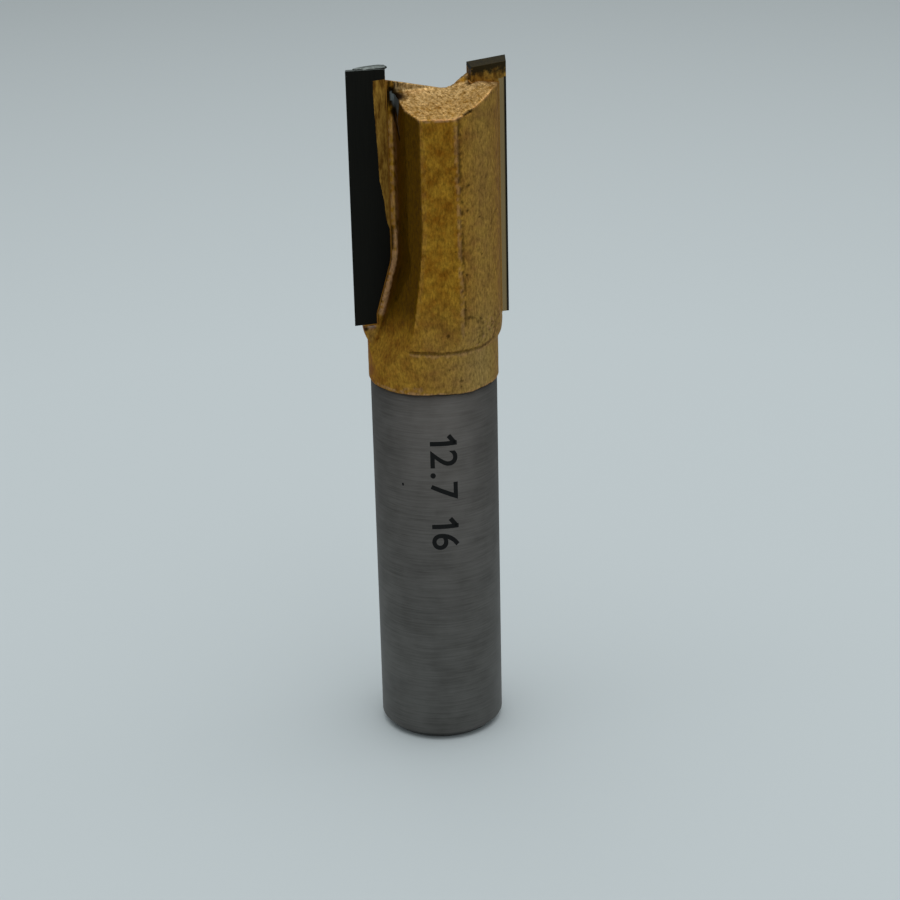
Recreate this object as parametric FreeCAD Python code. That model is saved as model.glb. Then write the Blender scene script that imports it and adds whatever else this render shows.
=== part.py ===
import FreeCAD, Part
import math
import os

# Two-flute straight router bit: a turned and milled steel body with a bare ground shank
# and two carbide cutting tips brazed into pockets of its head.
# Millimetres. The origin is the centre of the shank's end face, Z runs up the axis to the
# cutting end, and the two long cutting edges lie in the plane y = 0.

# Turned blank: the ground shank, then a neck and a head that each stand out a little further
SHANK_DIAMETER = 12.7
SHANK_LENGTH = 38.45
SHANK_CHAMFER = 0.8
NECK_STEP = 0.17
NECK_LENGTH = 4.15
HEAD_STEP = 0.48
SHOULDER_RADIUS = 3.0

# Carbide tips
CUTTING_DIAMETER = 15.875
CUTTING_LENGTH = 25.4
TIP_FOOT_HEIGHT = 1.85
TIP_WIDTH = 3.9
TIP_THICKNESS = 1.6
TIP_FOOT_WIDTH = 2.25
TIP_CORNER_HEIGHT = 6.65
TIP_CORNER_RADIUS = 5.0
TIP_SIDE_CLEARANCE = 15.0
TIP_END_RELIEF = 8.0
BRAZE_THICKNESS = 0.12

# The tips are seated and ground one at a time: the right one sits a little higher
LEFT_END_DISH = 1.5
RIGHT_END_DISH = 5.5
RIGHT_TIP_LEAD = 0.3

# Flutes: a wall that follows the inner end of each tip, past a narrow floor, and the long
# gullet facet that runs out on the neck
FLUTE_FLOOR = 0.54
FLUTE_WALL_SLOPE = 16.4
FLUTE_ROOT_RADIUS = 0.4
GULLET_FACING = 16.9
GULLET_DEPTH = 2.6
GULLET_BEND_HEIGHT = 9.4
GULLET_BEND_RADIUS = 30.0
GULLET_SLOPE = 5.7
GULLET_EXIT_HEIGHT = 4.6
GULLET_EXIT_SLOPE = 28.0
GULLET_EXIT_RADIUS = 12.0

# Flats on the back of each wing, by the direction they face, measured from the cutting edge
HEEL_FLAT_FACING = 98.5
HEEL_FLAT_DEPTH = 0.24
LAND_FLAT_FACING = 23.0
LAND_FLAT_DEPTH = 0.11

# Cutting end: a land lies behind each tip, set back from its end, and a shallow valley between
# them. Each is ground by hand, so the front wing, which carries the right tip, has its own.
FRONT_LAND_SETBACK = 1.0
FRONT_LAND_FALL = 7.6
FRONT_LAND_RELIEF = 0.0
FRONT_VALLEY_SETBACK = 2.35
FRONT_VALLEY_FOOT = 2.0
FRONT_VALLEY_SIDE = 22.0
FRONT_VALLEY_SLOPE = 12.0
BACK_LAND_SETBACK = 1.15
BACK_LAND_FALL = 0.0
BACK_LAND_RELIEF = 14.0
BACK_VALLEY_SETBACK = 2.5
BACK_VALLEY_FOOT = -2.0
BACK_VALLEY_SIDE = 13.0
BACK_VALLEY_SLOPE = 14.0
VALLEY_SKEW = 9.9

# How far cutting solids reach past the metal they remove, and what counts as no distance
OVERCUT = 5.0
SAME_PLACE = 1e-6

NECK_BASE = SHANK_LENGTH
SHOULDER_BASE = NECK_BASE + NECK_LENGTH
GULLET_EXIT = NECK_BASE + GULLET_EXIT_HEIGHT
TIP_FOOT = SHOULDER_BASE + TIP_FOOT_HEIGHT
TIP_CORNER = TIP_FOOT + TIP_CORNER_HEIGHT
TIP_TOP = TIP_FOOT + CUTTING_LENGTH
SHANK_RADIUS = SHANK_DIAMETER / 2
NECK_RADIUS = SHANK_RADIUS + NECK_STEP
HEAD_RADIUS = NECK_RADIUS + HEAD_STEP
CUTTING_RADIUS = CUTTING_DIAMETER / 2
TIP_INNER_END = CUTTING_RADIUS - TIP_WIDTH
FLUTE_WALL = TIP_INNER_END - BRAZE_THICKNESS - FLUTE_FLOOR
REACH = CUTTING_RADIUS + OVERCUT
CUT_TOP = TIP_TOP + OVERCUT
AXIS = FreeCAD.Vector(0, 0, 1)
ORIGIN = FreeCAD.Vector(0, 0, 0)


def point(x, y, z):
    return FreeCAD.Vector(x, y, z)


def tangent(degrees):
    return math.tan(math.radians(degrees))


def turned_about_axis(shape, degrees):
    turned = shape.copy()
    turned.rotate(ORIGIN, AXIS, degrees)
    return turned


def half_turn(shape):
    return turned_about_axis(shape, 180)


def rounded_outline(corners, radii):
    """Closed wire through corners, each rounded by an arc of its own radius (0 keeps it sharp)."""
    count = len(corners)
    entries = []
    for index in range(count):
        corner = corners[index]
        radius = radii[index]
        back = (corners[index - 1] - corner).normalize()
        ahead = (corners[(index + 1) % count] - corner).normalize()
        if radius == 0:
            entries.append((corner, corner, corner))
            continue
        half_angle = back.getAngle(ahead) / 2
        setback = radius / math.tan(half_angle)
        bisector = (back + ahead).normalize()
        middle = corner + bisector * (radius / math.sin(half_angle) - radius)
        entries.append((corner + back * setback, middle, corner + ahead * setback))
    edges = []
    for index in range(count):
        start, middle, end = entries[index]
        following = entries[(index + 1) % count][0]
        if start != end:
            edges.append(Part.Arc(start, middle, end).toShape())
        edges.append(Part.LineSegment(end, following).toShape())
    return Part.Wire(edges)


def turned_blank():
    """Shank, neck and rounded shoulder with the full-length head, as one revolve."""
    shoulder_rise = math.sqrt(SHOULDER_RADIUS**2 - (SHOULDER_RADIUS - HEAD_RADIUS + NECK_RADIUS)**2)
    arc_end = SHOULDER_BASE + shoulder_rise
    arc_middle_angle = math.asin(shoulder_rise / SHOULDER_RADIUS) / 2
    arc_middle = point(
        HEAD_RADIUS - SHOULDER_RADIUS + SHOULDER_RADIUS * math.cos(arc_middle_angle),
        0,
        arc_end - SHOULDER_RADIUS * math.sin(arc_middle_angle),
    )
    lower = [
        point(0, 0, 0),
        point(SHANK_RADIUS - SHANK_CHAMFER, 0, 0),
        point(SHANK_RADIUS, 0, SHANK_CHAMFER),
        point(SHANK_RADIUS, 0, NECK_BASE),
        point(NECK_RADIUS, 0, NECK_BASE),
        point(NECK_RADIUS, 0, SHOULDER_BASE),
    ]
    upper = [
        point(HEAD_RADIUS, 0, arc_end),
        point(HEAD_RADIUS, 0, TIP_TOP),
        point(0, 0, TIP_TOP),
        point(0, 0, 0),
    ]
    edges = [Part.LineSegment(a, b).toShape() for a, b in zip(lower, lower[1:])]
    edges.append(Part.Arc(lower[-1], arc_middle, upper[0]).toShape())
    edges += [Part.LineSegment(a, b).toShape() for a, b in zip(upper, upper[1:])]
    return Part.Face(Part.Wire(edges)).revolve(ORIGIN, AXIS, 360)


def flute_wall_cut():
    """Space in front of the rake plane, out from the wall that stands beside the left tip."""
    wall_run = (TIP_CORNER - GULLET_EXIT) * tangent(FLUTE_WALL_SLOPE)
    corners = [
        point(-FLUTE_WALL, 0, CUT_TOP),
        point(-FLUTE_WALL, 0, TIP_CORNER),
        point(-FLUTE_WALL - wall_run, 0, GULLET_EXIT),
        point(-REACH, 0, GULLET_EXIT),
        point(-REACH, 0, CUT_TOP),
    ]
    outline = rounded_outline(corners, [0, TIP_CORNER_RADIUS, 0, 0, 0])
    slab = Part.Face(outline).extrude(point(0, -REACH, 0))
    root = [edge for edge in slab.Edges if on_flute_root(edge)]
    return slab.makeFillet(FLUTE_ROOT_RADIUS, root)


def on_flute_root(edge):
    """True for the edges where the flute wall meets the rake plane."""
    box = edge.BoundBox
    in_rake_plane = max(abs(box.YMin), abs(box.YMax)) < SAME_PLACE
    return in_rake_plane and box.ZLength > SAME_PLACE and box.XMax > SAME_PLACE - REACH


def gullet_cut():
    """Long facet that opens the flute and runs out on the neck, ahead of the rake plane."""
    facet = HEAD_RADIUS - GULLET_DEPTH
    bend = TIP_FOOT + GULLET_BEND_HEIGHT
    exit_radius = facet + (bend - GULLET_EXIT) * tangent(GULLET_SLOPE)
    exit_fall = (REACH - exit_radius) / tangent(GULLET_EXIT_SLOPE)
    corners = [
        point(facet, 0, CUT_TOP),
        point(facet, 0, bend),
        point(exit_radius, 0, GULLET_EXIT),
        point(REACH, 0, GULLET_EXIT - exit_fall),
        point(REACH, 0, CUT_TOP),
    ]
    outline = rounded_outline(corners, [0, GULLET_BEND_RADIUS, GULLET_EXIT_RADIUS, 0, 0])
    prism = Part.Face(outline).extrude(point(0, 2 * REACH, 0))
    prism.translate(point(0, -REACH, 0))
    prism = turned_about_axis(prism, 180 + GULLET_FACING)
    ahead_of_rake = Part.makeBox(2 * REACH, REACH, CUT_TOP, point(-REACH, -REACH, 0))
    return prism.common(ahead_of_rake)


def wing_flat(facing, depth):
    """Slab that mills one flat on the back of the right-hand wing."""
    slab = Part.makeBox(REACH, 2 * REACH, TIP_TOP, point(HEAD_RADIUS - depth, -REACH, SHOULDER_BASE))
    return turned_about_axis(slab, -facing)


def valley_cut(setback, foot, side_angle, slope):
    """Metal above the valley of the front wing, whose side rises toward the right-hand tip."""
    floor = TIP_TOP - setback
    ceiling = TIP_TOP + REACH
    corners = [
        point(-2 * REACH, 0, floor),
        point(foot, 0, floor),
        point(foot + (ceiling - floor) / tangent(side_angle), 0, ceiling),
        point(-2 * REACH, 0, ceiling),
    ]
    sweep = point(-REACH * tangent(VALLEY_SKEW), -REACH, -REACH * tangent(slope))
    return Part.Face(Part.makePolygon(corners + corners[:1])).extrude(sweep)


def land_cut(setback, fall, relief):
    """Metal above the land of the front wing, which falls outward and away from the rake plane."""
    level = TIP_TOP - setback
    ceiling = TIP_TOP + 2 * REACH
    corners = [
        point(-REACH, 0, level + REACH * tangent(fall)),
        point(REACH, 0, level - REACH * tangent(fall)),
        point(REACH, 0, ceiling),
        point(-REACH, 0, ceiling),
    ]
    sweep = point(0, -REACH, -REACH * tangent(relief))
    return Part.Face(Part.makePolygon(corners + corners[:1])).extrude(sweep)


def wing_end_cuts():
    front_valley = valley_cut(
        FRONT_VALLEY_SETBACK, FRONT_VALLEY_FOOT, FRONT_VALLEY_SIDE, FRONT_VALLEY_SLOPE)
    back_valley = valley_cut(
        BACK_VALLEY_SETBACK, BACK_VALLEY_FOOT, BACK_VALLEY_SIDE, BACK_VALLEY_SLOPE)
    front_land = land_cut(FRONT_LAND_SETBACK, FRONT_LAND_FALL, FRONT_LAND_RELIEF)
    back_land = land_cut(BACK_LAND_SETBACK, BACK_LAND_FALL, BACK_LAND_RELIEF)
    return front_valley.fuse(front_land).fuse(half_turn(back_valley.fuse(back_land)))


def tip_outline(allowance):
    """Outline of the left tip in the rake plane, grown by an allowance on its seated sides."""
    inner = -TIP_INNER_END + allowance
    foot_inner = -CUTTING_RADIUS + TIP_FOOT_WIDTH + allowance
    corner_run = (TIP_WIDTH - TIP_FOOT_WIDTH) / tangent(FLUTE_WALL_SLOPE)
    corners = [
        point(-REACH, 0, CUT_TOP),
        point(inner, 0, CUT_TOP),
        point(inner, 0, TIP_CORNER),
        point(foot_inner, 0, TIP_CORNER - corner_run),
        point(foot_inner, 0, TIP_FOOT - allowance),
        point(-REACH, 0, TIP_FOOT - allowance),
    ]
    return rounded_outline(corners, [0, 0, TIP_CORNER_RADIUS, 0, 0, 0])


def tip_blank(allowance, lead):
    """Left tip before grinding, set back into the wing and seated a lead above its nominal place."""
    blank = Part.Face(tip_outline(allowance)).extrude(point(0, TIP_THICKNESS + allowance, 0))
    blank.translate(point(0, 0, lead))
    return blank


def side_ground_space():
    """Space inside the side clearance plane that falls away behind the left cutting edge."""
    flank = [
        point(-CUTTING_RADIUS, 0, 0),
        point(-CUTTING_RADIUS + REACH * tangent(TIP_SIDE_CLEARANCE), REACH, 0),
        point(0, REACH, 0),
        ORIGIN,
    ]
    return Part.Face(Part.makePolygon(flank + flank[:1])).extrude(point(0, 0, CUT_TOP))


def end_ground_space(lead, dish):
    """Space under the end relief plane, whose edge dips from the outer corner to the axis."""
    outer_top = TIP_TOP + lead
    end = [
        point(-CUTTING_RADIUS, 0, 0),
        ORIGIN,
        point(0, 0, outer_top - CUTTING_RADIUS * tangent(dish)),
        point(-CUTTING_RADIUS, 0, outer_top),
    ]
    fall = point(0, REACH, -REACH * tangent(TIP_END_RELIEF))
    return Part.Face(Part.makePolygon(end + end[:1])).extrude(fall)


def carbide_tip(lead, dish):
    """Left tip, ground on its side and on its end, seated a lead above its nominal place."""
    return tip_blank(0, lead).common(side_ground_space()).common(end_ground_space(lead, dish))


def braze_seam(lead):
    """Thin layer of braze between the left tip and its pocket, flush with the side of the head."""
    filled = tip_blank(BRAZE_THICKNESS, lead).common(turned_blank())
    return filled.cut(tip_blank(0, lead))


def cutter_body():
    """Turned blank with both flutes, tip pockets, wing flats and the ground cutting end."""
    cuts = [
        flute_wall_cut(),
        gullet_cut(),
        wing_flat(HEEL_FLAT_FACING, HEEL_FLAT_DEPTH),
        wing_flat(LAND_FLAT_FACING, LAND_FLAT_DEPTH),
    ]
    body = turned_blank()
    for cut in cuts:
        body = body.cut(cut).cut(half_turn(cut))
    left_pocket = tip_blank(BRAZE_THICKNESS, 0)
    right_pocket = half_turn(tip_blank(BRAZE_THICKNESS, RIGHT_TIP_LEAD))
    return body.cut(left_pocket).cut(right_pocket).cut(wing_end_cuts()).removeSplitter()


def write_part(name, shape):
    solids = shape.Solids
    if len(solids) != 1 or not shape.isValid():
        raise ValueError(f"{name} should be one valid solid, not {len(solids)}")
    solids[0].exportStep(f"parts/{name}.step")
    print(name, "volume", round(solids[0].Volume, 2))


def main():
    os.makedirs("parts", exist_ok=True)
    left_seam = braze_seam(0)
    right_seam = half_turn(braze_seam(RIGHT_TIP_LEAD))
    write_part("cutter_body", cutter_body())
    write_part("carbide_tip_left", carbide_tip(0, LEFT_END_DISH))
    write_part("carbide_tip_right", half_turn(carbide_tip(RIGHT_TIP_LEAD, RIGHT_END_DISH)))
    write_part("braze_seam_left", left_seam.cut(wing_end_cuts()).removeSplitter())
    write_part("braze_seam_right", right_seam.cut(wing_end_cuts()).removeSplitter())


main()
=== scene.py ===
import logging
import math
import random
from dataclasses import dataclass, field
from enum import Enum

import bmesh
import bpy
from bmesh.types import BMEdge, BMesh, BMLayerItem
from bpy.types import Material, Node, NodeOutputs, NodeSocket, NodeTree, Object
from mathutils import Matrix, Vector, noise
from mathutils.kdtree import KDTree


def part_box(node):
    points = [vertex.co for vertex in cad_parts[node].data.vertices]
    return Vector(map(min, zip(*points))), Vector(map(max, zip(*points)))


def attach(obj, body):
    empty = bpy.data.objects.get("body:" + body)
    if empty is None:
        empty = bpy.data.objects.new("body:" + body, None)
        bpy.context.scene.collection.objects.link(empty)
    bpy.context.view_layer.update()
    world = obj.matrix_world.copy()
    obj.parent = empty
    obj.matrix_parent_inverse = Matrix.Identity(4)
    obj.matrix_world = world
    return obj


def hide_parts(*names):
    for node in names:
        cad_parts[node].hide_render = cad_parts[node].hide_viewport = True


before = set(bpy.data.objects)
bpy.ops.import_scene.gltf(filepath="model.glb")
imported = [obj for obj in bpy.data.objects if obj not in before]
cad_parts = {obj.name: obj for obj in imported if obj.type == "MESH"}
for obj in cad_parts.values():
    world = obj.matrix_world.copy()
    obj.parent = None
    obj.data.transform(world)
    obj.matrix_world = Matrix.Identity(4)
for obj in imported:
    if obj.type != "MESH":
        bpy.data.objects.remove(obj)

# A two-flute straight router bit standing on its shank: bronze-gold lacquer over a milled head,
# a bare ground shank and two black carbide tips brazed in. Lengths in the classes are in
# millimetres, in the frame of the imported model, and a mesh turns into metres when it is finished.

LOG = logging.getLogger("router_bit")
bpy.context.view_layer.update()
MM = 0.001
MERGE_DISTANCE = 1e-4
BODY = "root"
END_FACE = "end_face"
# Most of a noise texture's gray values lie in this range.
NOISE_RANGE = (0.3, 0.7)


class CadNode(Enum):
    """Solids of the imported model."""

    CUTTER_BODY = "cutter_body"
    TIP_LEFT = "carbide_tip_left"
    TIP_RIGHT = "carbide_tip_right"
    SEAM_LEFT = "braze_seam_left"
    SEAM_RIGHT = "braze_seam_right"


class Slot(Enum):
    """Material slots of the record, which nothing here uses."""

    STEEL = "body_steel"
    CARBIDE = "carbide"


class Side(Enum):
    """Which of the two wings a tip belongs to, as a turn about the axis in degrees."""

    LEFT = 0.0
    RIGHT = 180.0


class Tint(Enum):
    """Mesh attributes that say what the lacquer looks like at a point."""

    EDGE = "edge"
    # Painted light: lighter and cooler on the side facing right and low on the neck.
    THIN = "thin"
    # Painted shade on the faces of the flutes.
    FLUTE_SHADE = "flute_shade"
    # Pale end faces, partly their coat and partly painted light from above.
    END = "end"
    DARK = "dark"
    BARE = "bare"


def linear(hex_colour: str) -> tuple[float, float, float, float]:
    """Turn an sRGB hex colour into linear red, green, blue and alpha.

    Args:
        hex_colour: A colour such as "#8A6B2C".

    Returns:
        The linear colour with an alpha of 1.
    """
    channels = [int(hex_colour[i:i + 2], 16) / 255 for i in (1, 3, 5)]
    light = [c / 12.92 if c <= 0.04045 else ((c + 0.055) / 1.055) ** 2.4 for c in channels]
    return (*light, 1.0)


def per_metre(size_mm: float) -> float:
    """Return the texture scale whose pattern repeats about every size_mm."""
    return 1 / (size_mm * MM)


def clamp(value: float) -> float:
    """Keep a value between 0 and 1."""
    return min(1.0, max(0.0, value))


def ramp(value: float, low: float, high: float) -> float:
    """Rise smoothly from 0 at low to 1 at high."""
    t = clamp((value - low) / (high - low))
    return t * t * (3 - 2 * t)


def add_node(tree: NodeTree, kind: str, settings: dict | None = None,
             inputs: dict | None = None) -> Node:
    """Add a node with its settings, and link or set its inputs.

    Args:
        tree: The node tree that gets the node.
        kind: Blender's name of the node.
        settings: Values of the node's own properties.
        inputs: Values or output sockets by the name or index of the input.

    Returns:
        The new node.
    """
    node = tree.nodes.new(kind)
    for name, value in (settings or {}).items():
        setattr(node, name, value)
    for key, value in (inputs or {}).items():
        if isinstance(value, NodeSocket):
            tree.links.new(value, node.inputs[key])
        else:
            node.inputs[key].default_value = value
    return node


def new_material(name: str, metallic: float, specular: float | None = None,
                 sheen: str | None = None) -> tuple[Material, Node, NodeSocket]:
    """Start a node material with a Principled shader and object coordinates.

    Args:
        name: Name of the material.
        metallic: Metallic value of the shader.
        specular: Specular level, where it isn't the shader's own.
        sheen: Colour of the specular tint, where it isn't white.

    Returns:
        The material, its shader and the socket of the object coordinates.
    """
    material = bpy.data.materials.new(name)
    material.use_nodes = True
    shader = material.node_tree.nodes["Principled BSDF"]
    shader.inputs["Metallic"].default_value = metallic
    if specular is not None:
        shader.inputs["Specular IOR Level"].default_value = specular
    if sheen is not None:
        shader.inputs["Specular Tint"].default_value = linear(sheen)
    place = add_node(material.node_tree, "ShaderNodeTexCoord").outputs["Object"]
    return material, shader, place


def noise_of(tree: NodeTree, place: NodeSocket, size: float, detail: float,
             roughness: float = 0.5,
             stretch: tuple[float, float, float] | None = None) -> NodeSocket:
    """Add a noise texture whose pattern has a real size.

    Args:
        tree: The node tree of the material.
        place: Its coordinates.
        size: Size of the pattern in millimetres.
        detail: Number of finer layers.
        roughness: Strength of the finer layers.
        stretch: Scale of the coordinates, below 1 where the pattern is drawn out.

    Returns:
        The socket of its gray value.
    """
    if stretch:
        place = add_node(tree, "ShaderNodeMapping", inputs={
            "Vector": place, "Scale": stretch}).outputs["Vector"]
    return add_node(tree, "ShaderNodeTexNoise", inputs={
        "Vector": place, "Scale": per_metre(size), "Detail": detail,
        "Roughness": roughness}).outputs["Fac"]


def spread(tree: NodeTree, value: NodeSocket, low: float, high: float,
           to_low: float = 0.0, to_high: float = 1.0) -> NodeSocket:
    """Map a value from one range to another one and hold it at both ends."""
    return add_node(tree, "ShaderNodeMapRange", inputs={
        "Value": value, "From Min": low, "From Max": high, "To Min": to_low,
        "To Max": to_high}).outputs["Result"]


def calc(tree: NodeTree, operation: str,
         *values: NodeSocket | float) -> NodeSocket:
    """Add a math node for one operation on values or sockets."""
    return add_node(tree, "ShaderNodeMath", {"operation": operation},
                    dict(enumerate(values))).outputs[0]


def mixed(tree: NodeTree, factor: NodeSocket,
          first: NodeSocket | str,
          second: NodeSocket | str) -> NodeSocket:
    """Mix two colours, each a socket or an sRGB hex colour, by a factor."""
    first, second = [linear(hue) if isinstance(hue, str) else hue for hue in (first, second)]
    return add_node(tree, "ShaderNodeMix", {"data_type": "RGBA"}, {
        "Factor": factor, 6: first, 7: second}).outputs[2]


def scaled(tree: NodeTree, colour: NodeSocket,
           amount: NodeSocket) -> NodeSocket:
    """Make a colour lighter or darker by an amount."""
    return add_node(tree, "ShaderNodeVectorMath", {"operation": "SCALE"}, {
        0: colour, "Scale": amount}).outputs["Vector"]


def attribute(tree: NodeTree, name: str) -> NodeSocket:
    """Read an attribute of the mesh."""
    return add_node(tree, "ShaderNodeAttribute", {"attribute_name": name}).outputs["Fac"]


def dress(tree: NodeTree, shader: Node, colour: NodeSocket,
          grain: NodeSocket, roughness: tuple[float, float],
          relief: tuple[NodeSocket, float, float]) -> None:
    """Give the shader its colour, uneven roughness and relief.

    Args:
        tree: The node tree of the material.
        shader: Its shader.
        colour: Socket of the colour.
        grain: Socket of the noise that varies the roughness.
        roughness: The middle roughness and its spread.
        relief: Socket of the height, its strength and its depth in millimetres.
    """
    middle, width = roughness
    height, strength, depth = relief
    rough = spread(tree, grain, *NOISE_RANGE, middle - width / 2, middle + width / 2)
    bump = add_node(tree, "ShaderNodeBump", inputs={
        "Height": height, "Strength": strength, "Distance": depth * MM})
    tree.links.new(colour, shader.inputs["Base Color"])
    tree.links.new(rough, shader.inputs["Roughness"])
    tree.links.new(bump.outputs["Normal"], shader.inputs["Normal"])


def node_copy(node: CadNode) -> BMesh:
    """Return a merged copy of a CAD node's mesh, in millimetres."""
    bm = bmesh.new()
    bm.from_mesh(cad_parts[node.value].data)
    bmesh.ops.scale(bm, vec=(1 / MM,) * 3, verts=bm.verts)
    bmesh.ops.remove_doubles(bm, verts=bm.verts, dist=MERGE_DISTANCE)
    return bm


def remeshed(bm: BMesh, voxel: float) -> BMesh:
    """Wrap a closed mesh in an even skin of small faces, with its edges a little rounded.

    Args:
        bm: The closed mesh, which is freed.
        voxel: Edge length of the new faces in millimetres.

    Returns:
        The new mesh.
    """
    mesh = bpy.data.meshes.new("skin")
    bm.to_mesh(mesh)
    bm.free()
    work = bpy.data.objects.new("skin", mesh)
    bpy.context.scene.collection.objects.link(work)
    modifier = work.modifiers.new("skin", "REMESH")
    modifier.mode = "VOXEL"
    modifier.voxel_size = voxel
    skin = bmesh.new()
    skin.from_object(work, bpy.context.evaluated_depsgraph_get())
    bpy.data.objects.remove(work)
    bpy.data.meshes.remove(mesh)
    return skin


def finished_piece(name: str, bm: BMesh, material: Material,
                   replaced: list[CadNode], smooth: bool) -> Object:
    """Args:
        name: Name of the piece.
        bm: The mesh, which is freed.
        material: Its finish.
        replaced: CAD nodes that the piece stands for.
        smooth: Whether the faces are shaded smooth.

    Returns:
        The piece.
    """
    bmesh.ops.scale(bm, vec=(MM,) * 3, verts=bm.verts)
    for face in bm.faces:
        face.smooth = smooth
    mesh = bpy.data.meshes.new(name)
    bm.to_mesh(mesh)
    bm.free()
    mesh.materials.append(material)
    piece = bpy.data.objects.new(name, mesh)
    bpy.context.scene.collection.objects.link(piece)
    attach(piece, BODY)
    if replaced:
        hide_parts(*[node.value for node in replaced])
    mesh.calc_loop_triangles()
    LOG.info("%s: %d triangles", name, len(mesh.loop_triangles))
    return piece


@dataclass(frozen=True)
class BronzeLacquer:
    """Bronze-gold metallic lacquer, sprayed in one thin coat.

    Its flakes give a fine mottled grain, drawn out a little along the bit. It is lighter on its
    convex edges; lighter and cooler as painted light on the side facing right and low on the neck;
    pale and speckled on the end faces, partly its coat and partly painted light from above; and
    dark brown in the flutes as painted shade.
    """

    name: str = "bronze_lacquer_sprayed"
    metallic: float = 0.7
    roughness: tuple[float, float] = (0.45, 0.2)
    specular: float = 0.12
    sheen: str = "#B98A3C"
    gold: str = "#AA7E28"
    shade: str = "#885816"
    # Painted light colour of the side facing right and of the lower neck.
    thin: str = "#A28A58"
    # Painted shade colour of the flutes.
    flute_shade: str = "#5F4206"
    # Pale end colours, partly the coat and partly painted light from above.
    end_light: str = "#D4B27C"
    end_dark: str = "#86642E"
    edge: str = "#B48A62"
    bare_steel: str = "#747A7A"
    dark: str = "#140E04"
    flake_size: float = 0.22
    flake_stretch: float = 0.45
    flake_contrast: tuple[float, float] = (0.6, 1.4)
    flake_relief: float = 0.35
    speckle_size: float = 0.4
    # The end is ground from front to back, and the coat lies along those marks.
    speckle_stretch: float = 0.45
    speckle_range: tuple[float, float] = (0.34, 0.62)
    cloud_size: float = 1.3
    cloud_range: tuple[float, float] = (0.36, 0.66)
    peel_size: float = 0.45
    peel_depth: float = 0.014
    peel_strength: float = 0.9

    def material(self) -> Material:
        """Build the material.

        Returns:
            The lacquer, which reads the head's own attributes of wear and of painted light and
            shade.
        """
        material, shader, place = new_material(self.name, self.metallic, self.specular, self.sheen)
        tree = material.node_tree
        cloud = noise_of(tree, place, self.cloud_size, 4.0, 0.6)
        grain = noise_of(tree, place, self.flake_size, 2.0, 0.7, (1.0, 1.0, self.flake_stretch))
        speckle = noise_of(tree, place, self.speckle_size, 3.0, 0.75,
                           (1.0, self.speckle_stretch, 1.0))
        peel = noise_of(tree, place, self.peel_size, 3.0, 0.55)
        colour = mixed(tree, spread(tree, cloud, *self.cloud_range), self.gold, self.shade)
        end = mixed(tree, spread(tree, speckle, *self.speckle_range), self.end_dark,
                    self.end_light)
        for tint, hue in ((Tint.THIN, self.thin), (Tint.FLUTE_SHADE, self.flute_shade), (Tint.END, end),
                          (Tint.EDGE, self.edge)):
            colour = mixed(tree, attribute(tree, tint.value), colour, hue)
        shading = spread(tree, grain, *NOISE_RANGE, *self.flake_contrast)
        colour = scaled(tree, colour, shading)
        for tint, hue in ((Tint.DARK, self.dark), (Tint.BARE, self.bare_steel)):
            colour = mixed(tree, attribute(tree, tint.value), colour, hue)
        height = calc(tree, "MULTIPLY_ADD", grain, self.flake_relief, peel)
        dress(tree, shader, colour, grain, self.roughness,
              (height, self.peel_strength, self.peel_depth))
        return material


@dataclass(frozen=True)
class GroundSteel:
    """Hardened tool steel, ground round between wheels.

    It is an even dark gray metal with fine marks that run round the shank, and painted a little
    darker towards the top, just below the lacquer, as painted shade for the darker surroundings it
    reflects there.
    """

    name: str = "tool_steel_ground"
    roughness: tuple[float, float] = (0.56, 0.12)
    steel: str = "#716F6C"
    steel_dark: str = "#5C5A57"
    # Painted shade: the steel is darkened towards the top, for the darker surroundings it reflects.
    top_shade: float = 0.78
    top_shade_from: float = 24.0
    top_shade_to: float = 38.0
    # Real grinding marks are a few hundredths of a millimetre apart, too fine to show, so they
    # are drawn about 0.15 mm apart.
    mark_length: float = 4.0
    mark_pitch: float = 0.15
    mark_depth: float = 0.003
    mark_strength: float = 0.6
    cloud_size: float = 3.0
    cloud_share: float = 0.6
    contrast: tuple[float, float] = (0.6, 1.0)

    def material(self) -> Material:
        """Build the material.

        Returns:
            The ground steel.
        """
        material, shader, place = new_material(self.name, 1.0)
        tree = material.node_tree
        marks = noise_of(tree, place, self.mark_length, 3.0, 0.7,
                         (1.0, 1.0, self.mark_length / self.mark_pitch))
        cloud = noise_of(tree, place, self.cloud_size, 3.0)
        both = calc(tree, "MULTIPLY_ADD", cloud, self.cloud_share, marks)
        colour = mixed(tree, spread(tree, both, *self.contrast), self.steel_dark, self.steel)
        height = add_node(tree, "ShaderNodeSeparateXYZ", inputs={"Vector": place}).outputs["Z"]
        top_shade = spread(tree, height, self.top_shade_from * MM, self.top_shade_to * MM, 1.0, self.top_shade)
        dress(tree, shader, scaled(tree, colour, top_shade), marks, self.roughness,
              (marks, self.mark_strength, self.mark_depth))
        return material


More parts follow.
